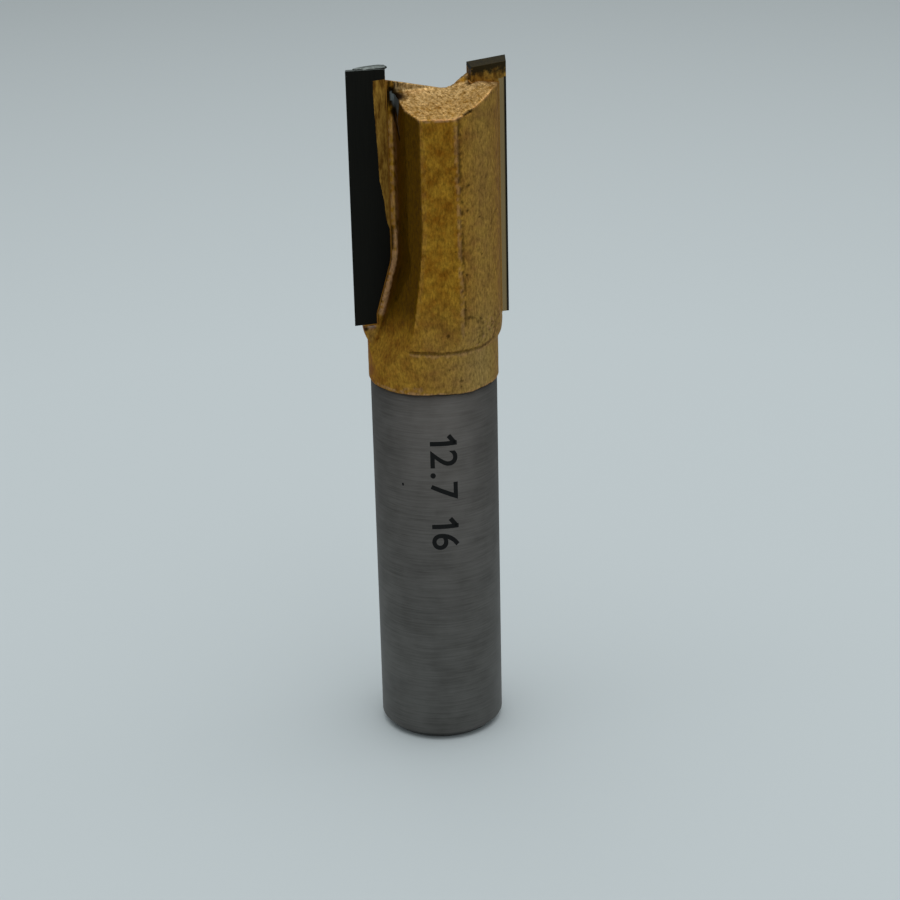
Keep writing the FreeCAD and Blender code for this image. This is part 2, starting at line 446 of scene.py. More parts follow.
@dataclass(frozen=True)
class GroundCarbide:
    """Tungsten carbide, ground with a fine diamond wheel, with lacquer along its inner end.

    It is almost black with a low satin gloss and very fine marks along its length. Heights and
    places are in millimetres on the left tip, and the right tip is turned onto it.
    """

    side: Side
    top: float
    inner: float
    end_face: str
    name: str = "tungsten_carbide_ground"
    metallic: float = 0.6
    roughness: tuple[float, float] = (0.4, 0.14)
    specular: float = 0.25
    sheen: str = "#8A8C8A"
    black: str = "#141412"
    black_light: str = "#23231F"
    worn_back: str = "#94805A"
    gold: str = "#BC903E"
    gold_dark: str = "#6E4A18"
    gold_range: tuple[float, float] = (0.36, 0.62)
    soot: str = "#332A18"
    # Grinding marks of a diamond wheel are too fine to show, so they are drawn 0.12 mm apart.
    mark_length: float = 5.0
    mark_pitch: float = 0.12
    mark_depth: float = 0.002
    mark_strength: float = 0.5
    grain_size: float = 0.22
    end_range: tuple[float, float] = (0.1, 0.6)
    # The lacquer's border on the rake face: (height above the shank, distance from the axis)
    border: tuple[tuple[float, float], ...] = (
        (0.0, 3.2), (14.6, 3.2), (15.2, 3.96), (16.5, 4.37), (18.5, 4.55), (20.5, 4.93),
        (23.5, 5.02), (27.4, 5.22), (29.0, 5.28), (30.25, 5.24), (30.35, 3.2), (32.0, 3.2))
    border_base: float = 38.45
    border_reach: float = 8.0
    ragged: float = 0.16
    rake_skin: float = 0.08
    back_from: float = 1.5
    back_band: float = 0.2
    back_foot: float = 1.75
    back_reach: float = 6.75
    back_edge: float = 7.34
    # How softly the mist on the back starts behind the front, at the edge and below the end
    back_soft: tuple[float, float, float] = (0.05, 0.12, 0.4)
    inner_band: float = 0.8
    inner_skin: float = 0.04
    streak_stretch: float = 0.25
    blotch_size: float = 0.5
    blotch_reach: float = 1.2
    soot_from: float = 0.3
    soot_reach: float = 3.0
    soot_fade: tuple[float, float] = (-0.1, 0.9)

    def material(self) -> Material:
        """Build the material.

        Returns:
            The carbide with its lacquered strip.
        """
        material, shader, place = new_material(f"{self.name}_{self.side.name.lower()}",
                                               self.metallic, self.specular, self.sheen)
        tree = material.node_tree
        turn = (0.0, 0.0, math.radians(self.side.value))
        place = add_node(tree, "ShaderNodeMapping", inputs={
            "Vector": place, "Rotation": turn}).outputs["Vector"]
        axes = add_node(tree, "ShaderNodeSeparateXYZ", inputs={"Vector": place}).outputs
        marks = noise_of(tree, place, self.mark_pitch, 2.0, 0.7,
                         (1.0, 1.0, self.mark_pitch / self.mark_length))
        grain = noise_of(tree, place, self.grain_size, 3.0, 0.7)
        streak = noise_of(tree, place, self.blotch_size, 3.0, 0.7, (1.0, 1.0, self.streak_stretch))
        paint = mixed(tree, spread(tree, streak, *self.gold_range), self.gold, self.gold_dark)
        paint = mixed(tree, self.soot_mask(tree, place, axes), paint, self.soot)
        colour = mixed(tree, marks, self.black, self.black_light)
        colour = mixed(tree, self.back_mask(tree, axes), colour, self.worn_back)
        colour = mixed(tree, self.lacquer_mask(tree, place, axes, grain), colour, paint)
        end = calc(tree, "MULTIPLY", attribute(tree, END_FACE),
                   spread(tree, streak, *self.end_range))
        colour = mixed(tree, end, colour, self.end_face)
        dress(tree, shader, colour, marks, self.roughness,
              (marks, self.mark_strength, self.mark_depth))
        return material

    def back_mask(self, tree: NodeTree,
                  axes: NodeOutputs) -> NodeSocket:
        """Mask of the brown-olive mist of lacquer on the back, short of the edge and of the end.

        Args:
            tree: The node tree of the material.
            axes: The coordinates one by one.

        Returns:
            The socket of the mask, 1 in the mist.
        """
        behind, beside, below = self.back_soft
        band = self.top - self.back_band
        limits = ((axes["Y"], self.back_from, self.back_from + behind),
                  (axes["X"], -self.back_edge, beside - self.back_edge),
                  (axes["Z"], band, band - below))
        mask = 1.0
        for socket, start, end in limits:
            mask = calc(tree, "MULTIPLY", spread(tree, socket, start * MM, end * MM), mask)
        return mask

    def soot_mask(self, tree: NodeTree, place: NodeSocket,
                  axes: NodeOutputs) -> NodeSocket:
        """Mask of the burnt flux over the upper part of the lacquer on the back of the tip.

        Args:
            tree: The node tree of the material.
            place: The coordinates.
            axes: The coordinates one by one.

        Returns:
            The socket of the mask, 1 where it is burnt.
        """
        blotch = noise_of(tree, place, self.blotch_size, 4.0, 0.7)
        height = calc(tree, "MULTIPLY_ADD", blotch, self.soot_reach * MM, axes["Z"])
        foot = self.top - self.back_foot + self.soot_reach / 2
        burnt = spread(tree, height, *[(foot + fade) * MM for fade in self.soot_fade])
        on_back = calc(tree, "GREATER_THAN", axes["Y"], self.soot_from * MM)
        return calc(tree, "MULTIPLY", burnt, on_back)

    def lacquer_mask(self, tree: NodeTree, place: NodeSocket,
                     axes: NodeOutputs,
                     grain: NodeSocket) -> NodeSocket:
        """Mask of the lacquer on the rake face, the back and the inner end of the tip.

        Args:
            tree: The node tree of the material.
            place: The coordinates.
            axes: The coordinates one by one.
            grain: Noise that roughens the border.

        Returns:
            The socket of the mask, 1 on lacquer.
        """
        top = self.border[-1][0]
        height = spread(tree, axes["Z"], self.border_base * MM, (self.border_base + top) * MM)
        line = add_node(tree, "ShaderNodeFloatCurve", inputs={"Value": height})
        curve = line.mapping.curves[0]
        while len(curve.points) < len(self.border):
            curve.points.new(0.5, 0.5)
        for point, (rise, radius) in zip(curve.points, self.border):
            point.location = (rise / top, radius / self.border_reach)
            point.handle_type = "VECTOR"
        line.mapping.update()
        ragged = calc(tree, "MULTIPLY_ADD", grain, self.ragged * MM, axes["X"])
        inside = calc(tree, "MULTIPLY_ADD", line.outputs["Value"], self.border_reach * MM, ragged)
        on_strip = calc(tree, "GREATER_THAN", inside, self.ragged * MM / 2)
        on_rake = calc(tree, "LESS_THAN", axes["Y"], self.rake_skin * MM)
        front = calc(tree, "MULTIPLY", on_strip, on_rake)
        blotch = noise_of(tree, place, self.blotch_size, 3.0)
        level = calc(tree, "MULTIPLY_ADD", blotch, self.blotch_reach * MM, axes["Z"])
        on_back = calc(tree, "GREATER_THAN", axes["Y"], self.back_from * MM)
        below, above, under = [
            calc(tree, side, level, (self.top - depth + self.blotch_reach / 2) * MM)
            for side, depth in (("LESS_THAN", self.back_band), ("GREATER_THAN", self.back_foot),
                                ("LESS_THAN", self.inner_band))]
        near = calc(tree, "GREATER_THAN", ragged, (self.ragged / 2 - self.back_reach) * MM)
        back = calc(tree, "MULTIPLY", calc(tree, "MULTIPLY", on_back, below),
                    calc(tree, "MAXIMUM", above, near))
        on_inner = calc(tree, "GREATER_THAN", axes["X"], -(self.inner + self.inner_skin) * MM)
        inner = calc(tree, "MULTIPLY", on_inner, under)
        return calc(tree, "MAXIMUM", calc(tree, "MAXIMUM", front, back), inner)


@dataclass(frozen=True)
class PaintedBraze:
    """Silver braze that flowed along the joint, under a thin mist of the lacquer.

    It is a dull brownish seam, a little smoother than the lacquer beside it.
    """

    name: str = "silver_braze_lacquered"
    metallic: float = 0.7
    roughness: tuple[float, float] = (0.4, 0.1)
    gold: str = "#BC8832"
    brown: str = "#865414"
    grain_size: float = 0.3
    grain_depth: float = 0.008
    grain_strength: float = 0.6

    def material(self) -> Material:
        """Build the material.

        Returns:
            The braze.
        """
        material, shader, place = new_material(self.name, self.metallic)
        tree = material.node_tree
        grain = noise_of(tree, place, self.grain_size, 3.0, 0.6)
        dress(tree, shader, mixed(tree, grain, self.gold, self.brown), grain, self.roughness,
              (grain, self.grain_strength, self.grain_depth))
        return material


@dataclass(frozen=True)
class MarkingInk:
    """Black marking ink, printed on the ground steel.

    It is a flat matt black that looks slightly broken where the steel's marks show through.
    """

    name: str = "marking_ink_printed"
    roughness: tuple[float, float] = (0.6, 0.8)
    specular: float = 0.2
    ink: str = "#070707"
    edge_lift: str = "#121313"
    grain_size: float = 0.2

    def material(self) -> Material:
        """Build the material.

        Returns:
            The ink.
        """
        material, shader, place = new_material(self.name, 0.0, self.specular)
        tree = material.node_tree
        grain = noise_of(tree, place, self.grain_size, 2.0, 0.7)
        rough = spread(tree, grain, 0.0, 1.0, *self.roughness)
        tree.links.new(mixed(tree, grain, self.ink, self.edge_lift), shader.inputs["Base Color"])
        tree.links.new(rough, shader.inputs["Roughness"])
        return material


@dataclass(frozen=True)
class PaleFloor:
    """Matt pale gray-blue studio paper, painted a little darker far behind the object as painted
    shade where the lamps' light falls off.
    """

    name: str = "studio_paper"
    # Painted shade: the far colour darkens the floor where the lamps' light falls off.
    near: str = "#CBD3D5"
    far: str = "#B4BABB"
    near_reach: float = 120.0
    far_reach: float = 520.0
    roughness: float = 0.9
    specular: float = 0.2

    def material(self) -> Material:
        """Build the material."""
        material, shader, place = new_material(self.name, 0.0, self.specular)
        tree = material.node_tree
        reach = add_node(tree, "ShaderNodeVectorMath", {"operation": "LENGTH"}, {0: place})
        part = spread(tree, reach.outputs["Value"], self.near_reach * MM, self.far_reach * MM)
        tree.links.new(mixed(tree, part, self.near, self.far), shader.inputs["Base Color"])
        shader.inputs["Roughness"].default_value = self.roughness
        return material


@dataclass(frozen=True)
class Mark:
    """A chip, scratch, crease, bead, painted highlight or painted shade in the lacquer, along a
    line of points.

    Its widths are at its first and last point. A depth sinks it, and below 0 raises it. Breaks
    are the share of its length that the mottling leaves out. One that comes from milling both
    wings alike is on both. One with a facing stays on the surface that faces that way.
    """

    tint: Tint
    points: tuple[tuple[float, float, float], ...]
    widths: tuple[float, float]
    strength: float = 1.0
    depth: float = 0.0
    breaks: float = 0.0
    both_wings: bool = False
    facing: tuple[float, float, float] | None = None


SCAR_TOP = ((-3.5, 0.0, 67.8), (-3.42, -0.25, 67.3), (-3.38, -0.8, 66.9))
SCAR_FOOT = ((-3.38, -0.8, 66.9), (-3.38, -1.1, 66.4), (-3.38, -1.3, 65.7))
SCAR_CRACK = ((-3.4, -0.2, 65.7), (-3.38, -0.53, 65.06), (-3.38, -1.17, 64.43),
              (-3.38, -1.64, 63.96), (-3.38, -2.07, 63.38))
SCAR_SCRATCH = ((-3.38, -1.43, 66.14), (-3.38, -1.51, 65.29), (-3.38, -1.72, 64.66),
                (-3.38, -1.9, 63.9))
FLUTE_WALL = (-1.0, 0.0, 0.0)
WALL_FOOT = ((-3.38, -0.4, 65.0), (-3.38, -0.5, 58.0), (-3.38, -0.4, 54.0))
LIP = ((-6.3, -1.6, 38.85), (-5.3, -3.9, 38.7), (-3.96, -5.18, 38.7), (-1.25, -6.4, 38.66),
       (1.92, -6.15, 38.5), (4.1, -5.07, 38.6), (5.6, -3.3, 38.7))
HEEL_LINE = ((0.83, -6.95, 66.0), (0.78, -6.95, 64.0), (0.82, -6.95, 61.6), (0.9, -6.94, 58.5),
             (0.95, -6.94, 54.3), (1.0, -6.93, 51.3), (1.06, -6.92, 47.5), (1.14, -6.9, 44.6))
HEEL_LINE_SHADE = tuple((x + 0.3, y + 0.04, z) for x, y, z in HEEL_LINE)
FLUTE_EDGE = ((-2.35, -6.52, 65.8), (-2.4, -6.5, 58.5), (-2.42, -6.5, 54.5), (-2.8, -6.38, 50.6),
              (-3.05, -6.28, 47.8), (-3.36, -6.12, 45.9))
END_RIM = ((-2.3, -6.6, 66.1), (0.7, -6.95, 66.05), (1.2, -6.85, 66.2))
# Painted highlight along the lit braze fillet beside the back of each tip.
SIDE_HIGHLIGHT = ((6.72, -1.95, 67.9), (6.72, -1.95, 45.5))
FLOOR_HIGH = ((-3.7, 0.0, 64.6), (-3.7, 0.0, 61.0), (-3.7, 0.0, 54.5))
FLOOR_LOW = ((-3.5, -0.1, 53.7), (-3.57, -0.06, 51.7), (-4.05, 0.0, 49.8), (-4.55, 0.0, 47.8),
             (-5.1, 0.0, 45.8))
SHOULDER_CREASE = ((-3.91, -5.47, 42.97), (-2.14, -6.33, 42.89), (0.3, -6.66, 42.85),
                   (2.49, -6.16, 42.82), (3.82, -5.52, 42.95), (4.88, -4.82, 43.31))
UPPER_CREASE = ((-3.66, -5.66, 43.02), (-2.61, -6.22, 43.0), (-1.41, -6.61, 43.04),
                (-0.3, -6.7, 42.95))
CREASE_LIP = tuple((x, y, z - 0.3) for x, y, z in SHOULDER_CREASE)
MARKS = (
    Mark(Tint.DARK, SCAR_TOP, (0.4, 2.4), depth=0.08),
    Mark(Tint.DARK, SCAR_FOOT, (2.5, 0.8), depth=0.08, facing=FLUTE_WALL),
    Mark(Tint.BARE, SCAR_TOP, (0.3, 1.4), 0.9, 0.03, facing=FLUTE_WALL),
    Mark(Tint.BARE, ((-3.54, 0.0, 67.5), (-3.5, 0.0, 66.8)), (0.2, 0.2), 0.8),
    Mark(Tint.BARE, SCAR_FOOT, (1.5, 0.3), 0.9, 0.03, facing=FLUTE_WALL),
    Mark(Tint.DARK, SCAR_CRACK, (0.6, 0.35), 0.95, 0.05),
    Mark(Tint.BARE, SCAR_SCRATCH, (0.4, 0.3), 0.45, 0.0, 0.3),
    Mark(Tint.DARK, ((-3.74, 0.0, 68.7), (-3.72, 0.0, 67.4), (-3.7, 0.0, 66.2)), (0.3, 0.2), 0.9,
         0.06),
    Mark(Tint.DARK, ((-3.2, -0.05, 68.6), (-3.15, -0.2, 68.0)), (0.24, 0.2), 0.9, 0.1),
    Mark(Tint.DARK, ((-2.75, -0.05, 68.5), (-2.85, -0.3, 67.9)), (0.2, 0.16), 0.7, 0.08),
    Mark(Tint.EDGE, HEEL_LINE, (0.5, 0.36), 0.38, -0.02, 0.4, True),
    Mark(Tint.DARK, HEEL_LINE_SHADE, (0.44, 0.28), 0.6, 0.04, 0.45, True),
    Mark(Tint.EDGE, FLUTE_EDGE, (0.5, 0.4), 0.08, 0.0, 0.3, True),
    Mark(Tint.EDGE, END_RIM, (0.3, 0.3), 0.7, -0.02, 0.2),
    # Painted highlight on the lit braze fillet beside each tip.
    Mark(Tint.EDGE, SIDE_HIGHLIGHT, (0.45, 0.45), 0.5, 0.0, 0.2, True),
    Mark(Tint.DARK, ((6.85, -1.74, 67.9), (6.85, -1.74, 45.0)), (0.22, 0.22), 0.7, 0.0, 0.0, True),
    Mark(Tint.EDGE, ((4.4, -5.4, 45.4), (4.82, -5.07, 44.96)), (0.5, 0.4), 0.6, 0.0, 0.3),
    Mark(Tint.DARK, ((-1.0, -6.85, 46.8), (0.6, -6.9, 44.8)), (2.6, 2.2), 0.16, 0.0, 0.4),
    Mark(Tint.EDGE, FLOOR_HIGH, (0.45, 0.5), 0.45, 0.0, 0.45, True),
    Mark(Tint.EDGE, FLOOR_LOW, (0.6, 0.9), 0.8, 0.0, 0.2, True),
    Mark(Tint.EDGE, WALL_FOOT, (1.0, 0.9), 0.28, 0.0, 0.25, True),
    Mark(Tint.EDGE, LIP, (0.26, 0.26), 0.8, -0.02, 0.3, True),
    Mark(Tint.EDGE, ((-4.6, -4.6, 38.9), (-3.8, -5.3, 38.9), (-3.1, -5.7, 39.1)), (0.5, 0.7), 0.45,
         0.0, 0.45),
    Mark(Tint.EDGE, ((-6.42, 0.0, 44.26), (-5.95, 0.0, 44.12)), (0.55, 0.4), 0.95, -0.05),
    Mark(Tint.BARE, ((-6.4, 0.0, 44.27), (-6.05, 0.0, 44.17)), (0.3, 0.26), 0.55),
    Mark(Tint.EDGE, ((-6.5, 0.0, 43.9), (-6.2, 0.0, 43.8)), (0.25, 0.25), 0.5, 0.0, 0.3),
    # Painted shadow on the shoulder under the left tip, which is also pressed in a little.
    Mark(Tint.DARK, ((-6.98, 0.25, 44.0), (-6.75, 0.0, 44.05)), (0.5, 0.34), 0.9, 0.05),
    Mark(Tint.DARK, ((-5.8, 0.0, 44.0), (-5.7, -0.2, 43.6)), (0.25, 0.2), 0.4, 0.03),
    Mark(Tint.DARK, ((-3.85, 0.0, 54.2), (-3.85, 0.0, 52.0)), (0.3, 0.25), 0.8, 0.0, 0.0, True),
    # The creases are pressed in and painted darker, as painted shade in them.
    Mark(Tint.DARK, UPPER_CREASE, (0.3, 0.22), 0.45, 0.05, 0.15, True),
    Mark(Tint.DARK, SHOULDER_CREASE, (0.28, 0.42), 0.5, 0.06, 0.15, True),
    Mark(Tint.EDGE, CREASE_LIP, (0.3, 0.36), 0.4, -0.02, 0.3, True),
    Mark(Tint.DARK, ((1.43, -6.85, 46.37), (2.31, -6.61, 46.23), (3.25, -6.2, 45.93)),
         (0.34, 0.22), 0.6, 0.05, 0.2),
    Mark(Tint.DARK, ((3.0, -6.1, 44.0), (4.24, -5.5, 44.4), (5.0, -4.8, 44.7)), (1.6, 2.4), 0.14,
         0.03, 0.4),
    Mark(Tint.DARK, ((1.8, -6.66, 66.47), (2.17, -6.5, 66.58), (2.45, -6.5, 66.6)), (0.5, 0.4),
         0.9, 0.18),
    Mark(Tint.END, ((3.1, -0.1, 68.2), (3.6, -0.2, 68.5), (4.0, -0.3, 68.8)), (0.6, 1.0), 0.8),
    Mark(Tint.DARK, ((3.3, -0.1, 68.35), (4.0, -0.4, 68.8), (3.9, -1.8, 68.0)), (0.6, 0.9), 0.5,
         0.03, 0.3),
    Mark(Tint.DARK, ((5.76, -3.98, 56.44), (5.07, -4.82, 55.94), (4.47, -5.38, 54.96)),
         (0.22, 0.16), 0.45, 0.02, 0.2),
    Mark(Tint.DARK, ((-3.38, -2.4, 54.97), (-3.4, -2.08, 51.36)), (0.35, 0.25), 0.5, 0.0, 0.1),
    Mark(Tint.DARK, ((-3.63, -1.69, 50.25), (-4.0, -1.79, 48.99)), (0.7, 0.4), 0.4, 0.0, 0.1),
)
# Corners of the burnt fillet of braze that rises to the inner end of the right tip
FILLET = (
    (2.9, -0.4, 68.0), (2.9, -0.02, 68.0), (3.5, -0.3, 68.42), (3.5, -0.02, 68.48),
    (4.07, -0.6, 68.8), (4.07, -0.02, 68.88), (4.07, -1.0, 67.6), (4.07, -0.02, 67.6),
    (3.2, -0.8, 67.8), (3.3, -0.02, 67.6))
# Pits in the lacquer on the front wing: place and width
PITS = (
    ((1.93, -6.73, 59.54), 0.3), ((1.87, -6.74, 57.0), 0.3), ((3.22, -6.21, 56.12), 0.22),
    ((3.38, -6.13, 52.39), 0.24), ((1.74, -6.78, 50.66), 0.3), ((1.06, -6.92, 49.07), 0.28),
    ((0.45, -6.9, 53.15), 0.24), ((1.44, -6.85, 47.18), 0.34), ((-0.31, -6.79, 44.72), 0.36),
    ((3.86, -5.41, 42.81), 0.28), ((-0.21, -6.52, 41.1), 0.24), ((1.01, -6.44, 39.77), 0.3),
    ((0.89, -6.46, 39.16), 0.26))


@dataclass(frozen=True)
class RoughPatch:
    """The pitted lacquer at the right of the shoulder: many small dark pits and light specks."""

    angles: tuple[float, float] = (-68.0, -34.0)
    heights: tuple[float, float] = (43.0, 46.0)
    widths: tuple[float, float] = (0.16, 0.34)
    radius: float = 6.9
    depth: float = 0.025
    dark: float = 0.55
    light: float = 0.7
    count: int = 64
    seed: int = 11

    def marks(self) -> list[Mark]:
        """Scatter the pits and specks.

        Returns:
            The marks, about two dark ones to each light one.
        """
        chance = random.Random(self.seed)
        made = []
        for index in range(self.count):
            angle = math.radians(chance.uniform(*self.angles))
            place = (self.radius * math.cos(angle), self.radius * math.sin(angle),
                     chance.triangular(*self.heights))
            width = chance.uniform(*self.widths)
            tint, strength = (Tint.DARK, self.dark) if index % 3 else (Tint.EDGE, self.light)
            made.append(Mark(tint, (place, place), (width, width), strength, self.depth))
        return made


@dataclass
class PaintedHead:
    """The lacquered neck, shoulder and head of the cutter body."""

    base: float = 38.45
    cut_above: float = 0.02
    voxel: float = 0.145
    smoothing_passes: int = 1
    lip_wave: float = 0.13
    lip_height: float = 0.7
    lip_waves: tuple[float, float] = (2.2, 7.0)
    peel: float = 0.014
    peel_size: float = 0.8
    edge_low: float = 0.006
    edge_high: float = 0.024
    edge_passes: int = 3
    edge_strength: float = 0.7
    edge_mottle: float = 0.8
    edge_mottle_size: float = 0.6
    flute_facing: float = 196.9
    flute_agreement: float = 0.85
    flute_depth: float = 5.6
    flute_foot: tuple[float, float] = (43.0, 47.8)
    facing_agreement: float = 0.6
    end_from: float = 60.0
    # The step between the two wings' ends gets the same pale end colour as the ends themselves.
    step_foot: tuple[float, float] = (66.9, 67.3)
    step_reach: float = 3.2
    step_width: float = 0.3
    # The end is painted a little darker towards the round outside of each wing, as painted shade.
    end_shade: float = 0.3
    end_shade_reach: tuple[float, float] = (2.0, 4.5)
    # Painted light: lighter and cooler on the side facing this way and low on the neck.
    cool_light_facing: float = -20.0
    cool_light_foot: tuple[float, float] = (41.0, 50.0)
    cool_light_side: float = 0.5
    cool_light_low: float = 0.34
    # A mark is whole within the first part of its half width and ends at the second.
    mark_falloff: tuple[float, float] = (0.55, 1.4)
    break_size: float = 0.45
    break_soft: float = 0.2
    pit_strength: float = 0.8
    pit_depth: float = 0.03
    finish: BronzeLacquer = field(default_factory=BronzeLacquer)

    def build(self) -> Object:
        """Build the head.

        Returns:
            The finished piece.
        """
        bm = node_copy(CadNode.CUTTER_BODY)
        geometry = bm.verts[:] + bm.edges[:] + bm.faces[:]
        cut = bmesh.ops.bisect_plane(
            bm, geom=geometry, plane_co=(0, 0, self.base + self.cut_above), plane_no=(0, 0, 1),
            clear_inner=True)
        rim = [item for item in cut["geom_cut"] if isinstance(item, BMEdge)]
        bmesh.ops.edgeloop_fill(bm, edges=rim)
        corners = [bm.verts.new(place) for place in FILLET]
        bmesh.ops.convex_hull(bm, input=corners)
        bmesh.ops.recalc_face_normals(bm, faces=bm.faces)
        skin = remeshed(bm, self.voxel)
        for _ in range(self.smoothing_passes):
            bmesh.ops.smooth_vert(skin, verts=skin.verts, factor=0.5, use_axis_x=True,
                                  use_axis_y=True, use_axis_z=True)
        skin.normal_update()
        layers = {tint: skin.verts.layers.float.new(tint.value) for tint in Tint}
        self.tint_faces(skin, layers)
        self.spray(skin)
        self.scar(skin, layers)
        return finished_piece("painted_head", skin, self.finish.material(),
                              [CadNode.CUTTER_BODY], smooth=True)

    def tint_faces(self, skin: BMesh, layers: dict) -> None:
        """Store where the lacquer is lighter on edges, has painted light on the right side and
        neck, painted shade in the flutes, or is pale on the end.

        Args:
            skin: The even mesh of the head.
            layers: Its attribute layers by tint.
        """
        skin.verts.ensure_lookup_table()
        neighbours = [[e.other_vert(v).index for e in v.link_edges] for v in skin.verts]
        bend = []
        for vert, near in zip(skin.verts, neighbours):
            middle = sum((skin.verts[i].co for i in near), Vector()) / len(near)
            bend.append((vert.co - middle).dot(vert.normal))
        for _ in range(self.edge_passes):
            bend = [(bend[i] + sum(bend[j] for j in near)) / (1 + len(near))
                    for i, near in enumerate(neighbours)]
        facing, lit_side = [Vector((math.cos(math.radians(angle)), math.sin(math.radians(angle)), 0))
                       for angle in (self.flute_facing, self.cool_light_facing)]
        for vert in skin.verts:
            # Painted light on the side facing right and on the lower neck.
            side = vert.normal.dot(lit_side)
            low = self.cool_light_low * (1 - ramp(vert.co.z, *self.cool_light_foot))
            vert[layers[Tint.THIN]] = clamp(
                self.cool_light_side * ramp(side, 0.2, 1.0) + low * (0.3 + 0.7 * ramp(side, -0.4, 0.4)))
            # Convex edges are painted lighter, with a mottled strength.
            mottle = self.edge_mottle * noise.noise(vert.co / self.edge_mottle_size)
            edge_lift = self.edge_strength * (1 + mottle)
            bent = ramp(bend[vert.index], self.edge_low, self.edge_high)
            vert[layers[Tint.EDGE]] = clamp(bent * edge_lift)
            # Painted shade on the faces of both flutes, fading in above the shoulder.
            for wing in (1, -1):
                agreement = wing * vert.normal.dot(facing)
                depth = wing * vert.co.dot(facing)
                if agreement > self.flute_agreement and depth < self.flute_depth:
                    vert[layers[Tint.FLUTE_SHADE]] = ramp(vert.co.z, *self.flute_foot)
            # Pale ends, partly their coat and partly painted light from above, with painted shade
            # towards the round outside.
            if vert.co.z > self.end_from:
                step = ramp(vert.co.z, *self.step_foot) * (abs(vert.co.x) < self.step_reach)
                level = ramp(vert.normal.z, 0.55, 0.85)
                level *= 1 - self.end_shade * ramp(abs(vert.co.y), *self.end_shade_reach)
                vert[layers[Tint.END]] = max(level, step * (abs(vert.co.y) < self.step_width))

    def spray(self, skin: BMesh) -> None:
        """Give the skin the lacquer's soft unevenness and its wavy lower border.

        Args:
            skin: The even mesh of the head.
        """
        for vert in skin.verts:
            push = self.peel * noise.noise(vert.co / self.peel_size)
            rise = vert.co.z - self.base
            vert.co += vert.normal * push
            if rise < self.lip_height:
                around = Vector((vert.co.x, vert.co.y, 0)).normalized()
                long, short = [noise.noise(around * scale) for scale in self.lip_waves]
                wave = long + 0.5 * short
                vert.co.z += self.lip_wave * wave * (1 - max(0.0, rise) / self.lip_height)

    def scar(self, skin: BMesh, layers: dict) -> None:
        """Press the chips, creases, pits, painted highlights and painted shade into the skin and
        tint them.

        Args:
            skin: The even mesh of the head.
            layers: Its attribute layers by tint.
        """
        tree = KDTree(len(skin.verts))
        for vert in skin.verts:
            tree.insert(vert.co, vert.index)
        tree.balance()
        pits = [Mark(Tint.DARK, (place, place), (width, width), self.pit_strength, self.pit_depth)
                for place, width in PITS]
        for mark in (*MARKS, *pits, *RoughPatch().marks()):
            for turn in ((1, -1) if mark.both_wings else (1,)):
                self.press(skin, layers[mark.tint], tree, mark, turn)

    def press(self, skin: BMesh, layer: BMLayerItem, tree: KDTree,
              mark: Mark, turn: int) -> None:
        """Press one mark into the skin.

        Args:
            skin: The even mesh of the head.
            layer: The layer of the mark's tint.
            tree: The skin's points before any mark.
            mark: The mark.
            turn: 1 on the front wing, -1 for its half-turned copy.
        """
        line = [Vector((turn * x, turn * y, z)) for x, y, z in mark.points]
        parts = [(b - a).length for a, b in zip(line, line[1:])]
        whole = max(sum(parts), self.voxel)
        core, reach = self.mark_falloff
        hold: dict[int, float] = {}
        run = 0.0
        for start, end, part in zip(line, line[1:], parts):
            steps = max(1, math.ceil(part / (self.voxel / 2)))
            for step in range(steps + 1):
                place = tree.find(start.lerp(end, step / steps))[0]
                share = (run + part * step / steps) / whole
                radius = (mark.widths[0] + (mark.widths[1] - mark.widths[0]) * share) / 2
                for _, index, away in tree.find_range(place, radius * reach):
                    value = 1 - ramp(away / radius, core, reach)
                    hold[index] = max(hold.get(index, 0.0), value)
            run += part
        for index, value in hold.items():
            vert = skin.verts[index]
            if mark.facing and vert.normal.dot(Vector(mark.facing)) < self.facing_agreement:
                continue
            level = 0.5 + noise.noise(vert.co / self.break_size)
            gap = ramp(level, mark.breaks - self.break_soft, mark.breaks + self.break_soft)
            value *= gap if mark.breaks else 1.0
            vert.co -= vert.normal * mark.depth * value
            vert[layer] = max(vert[layer], clamp(mark.strength * value))


@dataclass
class GroundShank:
    """The bare ground shank, which runs up inside the lacquered neck."""

    radius: float = 6.35
    chamfer: float = 0.8
    top: float = 40.0
    segments: int = 256
    edge_break: float = 0.06
    finish: GroundSteel = field(default_factory=GroundSteel)

    def build(self) -> Object:
        """Build the shank.

        Returns:
            The finished piece.
        """
        bm = bmesh.new()
        profile = [(0, 0), (self.radius - self.chamfer, 0), (self.radius, self.chamfer),
                   (self.radius, self.top), (0, self.top)]
        verts = [bm.verts.new((x, 0, z)) for x, z in profile]
        edges = [bm.edges.new(pair) for pair in zip(verts, verts[1:])]
        bmesh.ops.bevel(bm, geom=verts[1:3], offset=self.edge_break, affect="VERTICES",
                        segments=3, profile=0.5, material=-1)
        bmesh.ops.spin(bm, geom=bm.verts[:] + bm.edges[:], axis=(0, 0, 1), cent=(0, 0, 0),
                       angle=2 * math.pi, steps=self.segments, use_merge=True)
        bmesh.ops.remove_doubles(bm, verts=bm.verts, dist=MERGE_DISTANCE)
        bmesh.ops.recalc_face_normals(bm, faces=bm.faces)
        return finished_piece("ground_shank", bm, self.finish.material(),
                              [CadNode.CUTTER_BODY], smooth=True)


